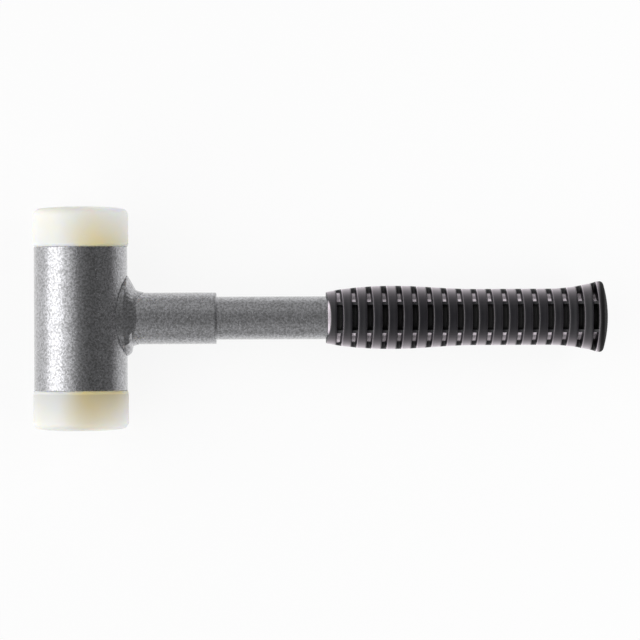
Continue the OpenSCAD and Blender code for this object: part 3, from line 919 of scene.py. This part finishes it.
def wall_drop(outside, depth, rim, floor, draft):
    """How far a surface drops at a distance outside a hollow's edge: a quarter circle at the rim, a wall that
    leans by the draft, a quarter circle at the floor, and then the hollow's depth."""
    scale = np.clip(depth / (rim + floor), 1e-6, 1)
    full = depth / scale
    over = np.clip(rim - outside, 0, rim)
    on_rim = rim - np.sqrt(np.maximum(rim**2 - over**2, 0))
    on_wall = rim + (full - floor - rim) * np.clip(-outside / draft, 0, 1)
    under = np.clip(outside + draft + floor, 0, floor)
    on_floor = full - floor + np.sqrt(np.maximum(floor**2 - under**2, 0))
    drop = np.select([outside >= 0, outside >= -draft], [on_rim, on_wall], on_floor)
    return drop * scale


def chord_height(radius, y):
    """Height of a circle about the handle's axis above the parting plane, at a place across the handle."""
    return np.sqrt(np.maximum(radius**2 - y**2, 0))


def row_depth(pocket, radius, row_radius, y, z, side_floor):
    """Depth of a row of pockets at a place across the handle, below the grip's outline. The middle pocket
    ends at a deep circle, the side pockets at a shallower one or at the round flank of the parting web, with
    a fillet between the two, and the webs between them have low tops."""
    across = np.abs(y)
    half = pocket.parting_half
    web_centre = chord_height(row_radius, half) - chord_height(pocket.parting_round, half)
    flank = chord_height(pocket.parting_round, across - web_centre)
    floor_z = chord_height(side_floor, y)
    bottom = (floor_z + flank + np.hypot(floor_z - flank, pocket.floor_round)) / 2
    side_depth = np.maximum(z - bottom, 0)
    low = np.minimum(z - chord_height(radius - pocket.web_drop, y), side_depth)
    middle_rest = np.maximum(z - chord_height(pocket.middle_floor, y) - low, 0)
    beyond = across - pocket.middle_half
    rounding = pocket.web_round, pocket.floor_round
    middle = wall_drop(beyond, middle_rest, *rounding, pocket.near_draft)
    side = wall_drop(pocket.web - beyond, side_depth - low, *rounding, pocket.web_flank)
    return low + np.maximum(middle, side)


def grip_columns(pocket, middle_steps=4, side_steps=20, crowding=0.8):
    """The grid's columns round the grip: the place across the handle of the flat ones, and for those beyond
    the side pockets' inner edge the share of the way to the parting line, near which they crowd, with their
    side and half."""
    inner = pocket.middle_half + edge_offsets(pocket.web_round, pocket.floor_round, pocket.near_draft)
    outer = edge_offsets(pocket.web_round, pocket.floor_round, pocket.web_flank)
    outer = pocket.middle_half + pocket.web - outer
    middle = np.linspace(0, inner.min(), middle_steps + 1)[:-1]
    flat = np.unique(np.concatenate([middle, inner, outer]).round(MERGE_DIGITS))
    share = np.linspace(0, 1, side_steps + 1)[1:] ** crowding
    place = np.concatenate([flat, np.full(share.size, flat[-1])])
    share = np.concatenate([np.zeros(flat.size), share])
    sign = np.ones(place.size)
    half_place = np.concatenate([place[:0:-1], place])
    half_share = np.concatenate([share[:0:-1], share])
    half_sign = np.concatenate([-sign[1:], sign])
    upper = np.ones(half_place.size)
    ring = [np.concatenate([a, a[-2:0:-1]])[None, :] for a in (half_place, half_share, half_sign)]
    return (*ring, np.concatenate([upper, -upper[1:-1]])[None, :])


def grip_section(radius, columns):
    """Points of the grip's outline round the handle: the flat columns keep their place across the handle, and
    the others share out the angle that is left to the parting line."""
    place, share, sign, half = columns
    lean = np.arcsin(np.clip(place / radius, 0, 1))
    lean = lean + (math.pi / 2 - lean) * share
    return sign * radius * np.sin(lean), half * radius * np.cos(lean), sign * lean


def mouth_plan(grip, y):
    """Distance from the lip to the scoop's upright cylinder, whose axis stands ahead of the lip."""
    centre = grip.mouth_depth - grip.mouth_radius
    return np.maximum(centre + np.sqrt(np.maximum(grip.mouth_radius**2 - y**2, 0)), 0)


class HAMMER_OT_grip(Operator):
    """Rubber grip: a moulded sleeve with a scooped mouth, rows of rounded pockets and a domed butt"""

    bl_idname = "hammer.grip"
    bl_label = "Rubber grip"

    def stations(self, grip, pocket):
        """Places of the grid lines along the handle: at both edges of each row and on each rib's top."""
        rounding = pocket.edge_round, pocket.floor_round
        rows = np.arange(pocket.rows)[:, None]
        centres = pocket.first + pocket.pitch * rows
        set_in = np.where(rows == pocket.rows - 1, pocket.edge_round / 2, 0)
        near = centres - pocket.width / 2 - edge_offsets(*rounding, pocket.near_draft)
        far = centres + pocket.width / 2 - set_in + edge_offsets(*rounding, pocket.far_draft)
        on_rib = np.array([[0.4, 0.5, 0.6]])
        ribs = centres[:-1] + pocket.pitch * on_rib
        places = np.concatenate([near.ravel(), far.ravel(), ribs.ravel()])
        places = np.unique(places.round(MERGE_DIGITS))
        return places[places < grip.rim_at][:, None]

    def rows_of_pockets(self, grip, pocket, columns):
        """The grip from its first pocket to the rim: the outline, less each row's drop towards the axis
        plane, with rows that bow towards the head at the sides. The last row's far wall is set in, so that
        its rounding ends at the rim. Two masks come with the points: deep middle pockets, which take painted
        shade, and a mask of dust with painted sheen, painted reflection and painted glint."""
        rim, last = pocket.edge_round, pocket.rows - 1
        along = self.stations(grip, pocket)
        radius = grip_radius(grip, along)
        y, z, _ = grip_section(radius, columns)
        row = np.clip(np.round((along - pocket.first) / pocket.pitch), 0, last)
        from_row = along - pocket.first - row * pocket.pitch
        floor = pocket.first_floor + (pocket.last_floor - pocket.first_floor) * row / last
        row_at = pocket.first + row * pocket.pitch
        row_radius = np.maximum(
            grip_radius(grip, row_at - pocket.width / 2), grip_radius(grip, row_at + pocket.width / 2)
        )
        depth = row_depth(pocket, radius, row_radius, y, np.abs(z), floor)
        outside = np.abs(from_row) - pocket.width / 2
        outside = outside + np.where((row == last) & (from_row > 0), rim / 2, 0)
        draft = np.where(from_row < 0, pocket.near_draft, pocket.far_draft)
        drop = wall_drop(outside, depth, rim, pocket.floor_round, draft) + self.dish(pocket, along)
        height = np.sign(z) * (np.abs(z) - drop)
        bowed = along - self.bow(pocket, along) * (y / radius) ** 2
        across = np.abs(y)
        deep = np.where((outside < 0) & (across < pocket.middle_half), 1.0, 0.0)
        # Painted reflection on the side pockets' floors; on the ribs, dust with painted sheen and a painted
        # glint after each pocket.
        on_floor = (outside <= -draft - pocket.floor_round / 2) & (across > pocket.middle_half + pocket.web)
        on_floor = on_floor & (across < pocket.bloom_end * floor)
        dust_and_sheen = np.where(on_floor, pocket.floor_bloom, self.rib_bloom(pocket, outside, from_row))
        return np.stack([bowed, y, height], axis=-1), deep, dust_and_sheen

    def rib_bloom(self, pocket, outside, from_row, rise=3):
        """Dust and painted sheen on a rib: full on its top and fading over its rounding before a pocket; on
        its rounding after one, a stronger painted glint, where it rises steeply from the edge."""
        on_rim = np.clip(outside / pocket.edge_round, 0, 1)
        after = np.clip(rise * on_rim, 0, 1) * (pocket.rim_bloom + (1 - pocket.rim_bloom) * on_rim)
        return np.where(from_row < 0, on_rim, after)

    def bow(self, pocket, along):
        """How far the grip's sides bow towards the head: a value that goes evenly from each row's near edge
        to its far edge and back over the next rib."""
        from_near = (along - pocket.first + pocket.width / 2) % pocket.pitch
        over_row = from_near / pocket.width
        over_rib = (pocket.pitch - from_near) / (pocket.pitch - pocket.width)
        share = np.where(from_near < pocket.width, over_row, over_rib)
        return pocket.near_bow + (pocket.far_bow - pocket.near_bow) * share

    def dish(self, pocket, along):
        """How far a rib's top is dished: a parabola between the two rows of pockets beside it."""
        rib = (along - pocket.first) / pocket.pitch - 0.5
        from_middle = (rib - np.round(rib)) * pocket.pitch
        half = (pocket.pitch - pocket.width) / 2 - pocket.edge_round
        between = (rib > -0.5) & (rib < pocket.rows - 1.5)
        return np.where(between, pocket.dish * np.clip(1 - (from_middle / half) ** 2, 0, 1), 0)

    def mouth(self, grip, pocket, columns, steps=5):
        """The bore's closed end, the bore, the scooped mouth and the front of the outline. The mouth's wall
        stands straight on the tube until the scoop's cylinder brings it forward at the sides, and a bevel
        leads from the wall's top to the scoop's edge; both its edges are rounded by parabolas."""
        y, _, lean = grip_section(np.full((1, 1), grip.lip_radius), columns)
        plan = mouth_plan(grip, y)
        side = np.sin(lean)
        up = columns[3] * np.abs(np.cos(lean))

        def ring(along, radius):
            """Points round the handle at the columns' angles, from their place along it and their radius."""
            return np.stack(np.broadcast_arrays(along, radius * side, radius * up), axis=-1)

        foot_at = np.minimum(grip.mouth_foot, plan)
        wall_at = foot_at + grip.mouth_lean
        edge_at = np.maximum(plan, wall_at + grip.mouth_lean)
        first = pocket.first - pocket.width / 2 - pocket.edge_round
        front_at = edge_at + grip.mouth_round
        share = np.array([0.0, 0.2, 0.45, 0.7])[:, None]
        front_at = front_at + (first - front_at) * share
        front_y, front_z, _ = grip_section(grip_radius(grip, front_at), columns)
        front = np.stack([front_at, front_y, front_z], axis=-1)
        foot = ring(foot_at, grip.bore_radius)
        wall = ring(wall_at, grip.bore_radius + grip.mouth_wall)
        edge = ring(edge_at, grip_radius(grip, edge_at))
        # The roundings take these shares of the wall and of the bevel's two ends.
        on_wall, on_bevel, at_edge = 0.4, 0.15, 0.2
        t = np.linspace(0, 1, steps + 1)[:, None, None]
        lower = parabola(wall + (foot - wall) * on_wall, wall, wall + (edge - wall) * on_bevel, t)
        upper = parabola(edge + (wall - edge) * at_edge, edge, front[:1], t)[:-1]
        end_at = grip.total - grip.butt_wall
        bore = [ring(end_at, 0 * side), ring(end_at, grip.bore_radius)]
        return np.concatenate([*bore, foot, lower, upper, front])

    def butt(self, grip, columns):
        """The rim's rounding and the dome: circles that shrink towards the end of the grip."""
        inner = grip.rim_radius - grip.butt_round
        rise = grip.total - grip.rim_at
        dome = (rise**2 + inner**2 - grip.butt_round**2) / (2 * (rise - grip.butt_round))
        tangent = math.degrees(math.atan2(inner, dome - rise))
        edge = arc([grip.rim_at, inner], grip.butt_round, 90, tangent, steps=8)
        cap = arc([grip.total - dome, 0], dome, tangent, 0, steps=10)[1:]
        outline = np.concatenate([edge, cap])
        y, z, _ = grip_section(np.full((1, 1), grip.rim_radius), columns)
        shrink = outline[:, 1:] / grip.rim_radius
        along = np.repeat(outline[:, :1], y.shape[1], axis=1)
        return np.stack([along, y * shrink, z * shrink], axis=-1)

    def execute(self, context):
        grip = context.scene.hammer_grip
        pocket = context.scene.hammer_pocket
        columns = grip_columns(pocket)
        body, deep, dust_and_sheen = self.rows_of_pockets(grip, pocket, columns)
        mouth = self.mouth(grip, pocket, columns)
        butt = self.butt(grip, columns)
        points = np.concatenate([mouth, body, butt]) + [HEAD_X + grip.start, 0, AXIS_Z]
        at_ends = ((len(mouth), len(butt)), (0, 0))
        # The butt gets the deep pockets' painted shade, stronger, and no sheen; the mouth gets the sheen.
        deep = np.pad(deep, at_ends, constant_values=((0, grip.butt_dull), (0, 0)))
        dust_and_sheen = np.pad(dust_and_sheen, at_ends, constant_values=((1, 0), (0, 0)))
        # Painted glint: a pale crescent on the lip's face, fading towards its sides.
        along, y = mouth[..., 0], mouth[..., 1]
        on_lip = along < mouth_plan(grip, y) + grip.mouth_round / 2
        pale = np.clip((grip.lip_bloom_half - np.abs(y)) / grip.lip_bloom_fade, 0, 1) * grip.lip_bloom
        dust_and_sheen[: len(mouth)][on_lip] = pale[on_lip]
        masks = {"deep": deep, "dust_and_sheen": dust_and_sheen}
        faces = grid_faces(*points.shape[:2])
        piece = add_piece("grip_rubber", points, faces, sharp_angle=math.radians(50), attributes=masks)
        dress(context, piece, "rubber_grip", "black_rubber")
        return {"FINISHED"}


class HAMMER_OT_shot(Operator):
    """Shot charge: balls in rows of a triangular pattern, the same in every layer along the head"""

    bl_idname = "hammer.shot"
    bl_label = "Shot charge"

    def execute(self, context):
        shot = context.scene.hammer_shot
        head = context.scene.hammer_head
        reach = head.chamber_radius - shot.ball_radius - shot.wall_gap
        layer, row, side = np.meshgrid(
            np.arange(shot.layers), np.arange(shot.rows), np.arange(-shot.rows, shot.rows + 1), indexing="ij"
        )
        x = side * shot.pitch + row % 2 * shot.pitch / 2
        z = row * shot.pitch * math.sin(math.pi / 3) - reach
        y = (layer - (shot.layers - 1) / 2) * shot.pitch
        inside = np.abs(x) <= np.sqrt(np.maximum(reach**2 - z**2, 0)) + 1e-9
        centres = np.stack([HEAD_X + x, y, AXIS_Z + z], axis=-1)[inside]
        turn = full_turn(shot.ball_sides)
        polar = np.linspace(0, math.pi, shot.ball_rings)[:, None]
        ball = np.broadcast_arrays(np.sin(polar) * np.cos(turn), np.sin(polar) * np.sin(turn), np.cos(polar))
        ball = np.stack(ball, axis=-1).reshape(-1, 3)
        points = centres[:, None, :] + shot.ball_radius * ball[None]
        offsets = np.arange(len(centres))[:, None, None] * len(ball)
        faces = (grid_faces(shot.ball_rings, shot.ball_sides)[None] + offsets).reshape(-1, 4)
        piece = add_piece("shot_balls", points, faces, sharp_angle=math.pi)
        dress(context, piece, "steel_shot", "bare_steel", body="shot")
        return {"FINISHED"}


class HAMMER_OT_discs(Operator):
    """Discs that close the chamber: the construction nodes keep their shape and take the steel finish"""

    bl_idname = "hammer.discs"
    bl_label = "Chamber discs"

    def execute(self, context):
        for node in ("upper_shot_disc", "lower_shot_disc"):
            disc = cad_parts[node]
            disc.data.materials.clear()
            disc.data.materials.append(finish(context, "bare_steel"))
        return {"FINISHED"}


def seen_ray(tree):
    """1 for rays that show the floor: from the camera, or by way of gloss or glass."""
    rays = add_node(tree, "ShaderNodeLightPath").outputs
    kinds = "Is Camera Ray", "Is Glossy Ray", "Is Transmission Ray"
    return combine(tree, "MAXIMUM", *(rays[kind] for kind in kinds))


class HAMMER_OT_stage(Operator):
    """Stage: a pale floor, a soft box on the head's side, a fill panel, a dim room and the camera above"""

    bl_idname = "hammer.stage"
    bl_label = "Stage"

    def floor(self, stage):
        """A square floor at table height: matt and pale to the lamps, near white to the camera and to gloss.
        In reflections it darkens at a slant on the butt's side, away from the soft box: painted shade that
        stands in for the head's shadow on the table."""
        half = stage.floor_half
        mesh = bpy.data.meshes.new("floor")
        corners = [(-half, -half, 0), (half, -half, 0), (half, half, 0), (-half, half, 0)]
        mesh.from_pydata(corners, [], [(0, 1, 2, 3)])
        floor = add_object("floor", mesh)
        material, tree, _ = new_finish("floor")
        mesh.materials.append(material)
        tree.nodes.clear()
        slant = add_node(tree, "ShaderNodeLayerWeight", {"Blend": 0.5}).outputs["Facing"]
        gloss = add_node(tree, "ShaderNodeLightPath").outputs["Is Glossy Ray"]
        along = axes(tree, own_place(tree))["X"]
        # Painted shade in reflections, on the butt's side of the floor.
        away = smooth_step(tree, along, stage.polish_start, stage.polish_full, 0, stage.floor_polish)
        dark = times(tree, combine(tree, "POWER", slant, stage.polish_slant), away, gloss)
        matt = add_node(tree, "ShaderNodeBsdfDiffuse", {"Color": (*stage.floor_colour, 1)})
        light = spread(tree, dark, low=0, high=1, to_low=1, to_high=0)
        glow = add_node(tree, "ShaderNodeEmission", {"Color": WHITE, "Strength": light})
        seen = times(tree, seen_ray(tree), stage.floor_glow)
        mix = add_node(tree, "ShaderNodeMixShader", {"Fac": seen, 1: matt.outputs[0], 2: glow.outputs[0]})
        add_node(tree, "ShaderNodeOutputMaterial", {"Surface": mix.outputs[0]})

    def panel(self, name, radiance, size, place):
        """A rectangular area light at a place, facing the origin. Its power is pi times radiance and area."""
        light = bpy.data.lights.new(name, "AREA")
        light.shape = "RECTANGLE"
        light.size, light.size_y = size
        light.energy = radiance * math.pi * size[0] * size[1]
        lamp = add_object(name, light)
        lamp.location = place
        lamp.rotation_euler = (-lamp.location).to_track_quat("-Z", "Y").to_euler()
        return lamp

    def lamps(self, stage):
        """A soft box on the head's side, and a fill panel on the butt's side that leaves no glint."""
        key_size = stage.key_width, stage.key_height
        self.panel("soft_box", stage.key_radiance, key_size, (stage.key_x, stage.key_y, stage.key_z))
        fill_size = stage.fill_width, stage.fill_height
        fill = self.panel("fill_panel", stage.fill_radiance, fill_size, (stage.fill_x, 0, stage.fill_z))
        fill.visible_glossy = False

    def room(self, stage):
        """A room that is white to the camera, with a bright wall behind the soft box, a dim far side and a
        dim ceiling: smooth steps of the direction's X and Z."""
        world = bpy.data.worlds.new("room")
        bpy.context.scene.world = world
        world.use_nodes = True
        tree = world.node_tree
        tree.nodes.clear()
        way = axes(tree, add_node(tree, "ShaderNodeTexCoord").outputs["Generated"])
        ceiling = stage.sky_side * stage.sky_top
        upright = smooth_step(tree, way["Z"], stage.ceiling_edge, 1, stage.sky_side, ceiling)
        far = smooth_step(tree, way["X"], 0, stage.far_edge, 1, stage.sky_far)
        wall = smooth_step(tree, way["X"], -stage.wall_full, -stage.wall_edge, stage.sky_wall, 0)
        level = plus(tree, times(tree, upright, far), wall)
        dim = add_node(tree, "ShaderNodeBackground", {"Color": WHITE, "Strength": level})
        white = add_node(tree, "ShaderNodeBackground", {"Color": WHITE, "Strength": 1.0})
        seen = add_node(tree, "ShaderNodeLightPath").outputs["Is Camera Ray"]
        mix = add_node(tree, "ShaderNodeMixShader", {"Fac": seen, 1: dim.outputs[0], 2: white.outputs[0]})
        add_node(tree, "ShaderNodeOutputWorld", {"Surface": mix.outputs[0]})

    def camera(self, stage):
        """A long lens straight above the hammer, with +Y up in the picture."""
        data = bpy.data.cameras.new("camera")
        data.lens = stage.lens
        data.clip_end = 2 * (stage.camera_height + stage.floor_half)
        camera = add_object("camera", data)
        camera.location = (stage.camera_x, stage.camera_y, AXIS_Z + stage.camera_height)
        camera.rotation_euler = (0, 0, stage.camera_roll)
        bpy.context.scene.camera = camera

    def execute(self, context):
        stage = context.scene.hammer_stage
        self.floor(stage)
        self.lamps(stage)
        self.room(stage)
        self.camera(stage)
        context.scene.view_settings.view_transform = "Standard"
        return {"FINISHED"}


GROUPS = {
    "hammer_head": HeadSizes,
    "hammer_insert": InsertSizes,
    "hammer_handle": HandleSizes,
    "hammer_weld": WeldSizes,
    "hammer_grip": GripSizes,
    "hammer_pocket": PocketSizes,
    "hammer_shot": ShotSizes,
    "hammer_finishes": Finishes,
    "hammer_stage": StageSettings,
}
OPERATORS = (
    HAMMER_OT_head_tube,
    HAMMER_OT_inserts,
    HAMMER_OT_sleeve,
    HAMMER_OT_handle_tube,
    HAMMER_OT_weld,
    HAMMER_OT_grip,
    HAMMER_OT_shot,
    HAMMER_OT_discs,
    HAMMER_OT_stage,
)


class HAMMER_PT_build(Panel):
    """Buttons that build the pieces, with the sizes and colours that each group takes."""

    bl_idname = "HAMMER_PT_build"
    bl_label = "Dead Blow Hammer"
    bl_space_type = "VIEW_3D"
    bl_region_type = "UI"
    bl_category = "Hammer"

    def draw(self, context):
        for operator in OPERATORS:
            self.layout.operator(operator.bl_idname)
        for name, group in GROUPS.items():
            box = self.layout.box()
            box.label(text=group.__doc__)
            for prop in group.__annotations__:
                box.prop(getattr(context.scene, name), prop)


CLASSES = (*GROUPS.values(), *OPERATORS, HAMMER_PT_build)


def register():
    for made in CLASSES:
        bpy.utils.register_class(made)
    for name, group in GROUPS.items():
        setattr(bpy.types.Scene, name, PointerProperty(type=group))


def unregister():
    for name in GROUPS:
        delattr(bpy.types.Scene, name)
    for made in reversed(CLASSES):
        bpy.utils.unregister_class(made)


def main():
    register()
    bpy.ops.hammer.head_tube()
    bpy.ops.hammer.inserts()
    bpy.ops.hammer.sleeve()
    bpy.ops.hammer.handle_tube()
    bpy.ops.hammer.weld()
    bpy.ops.hammer.grip()
    bpy.ops.hammer.shot()
    bpy.ops.hammer.discs()
    bpy.ops.hammer.stage()


if __name__ == "__main__":
    main()
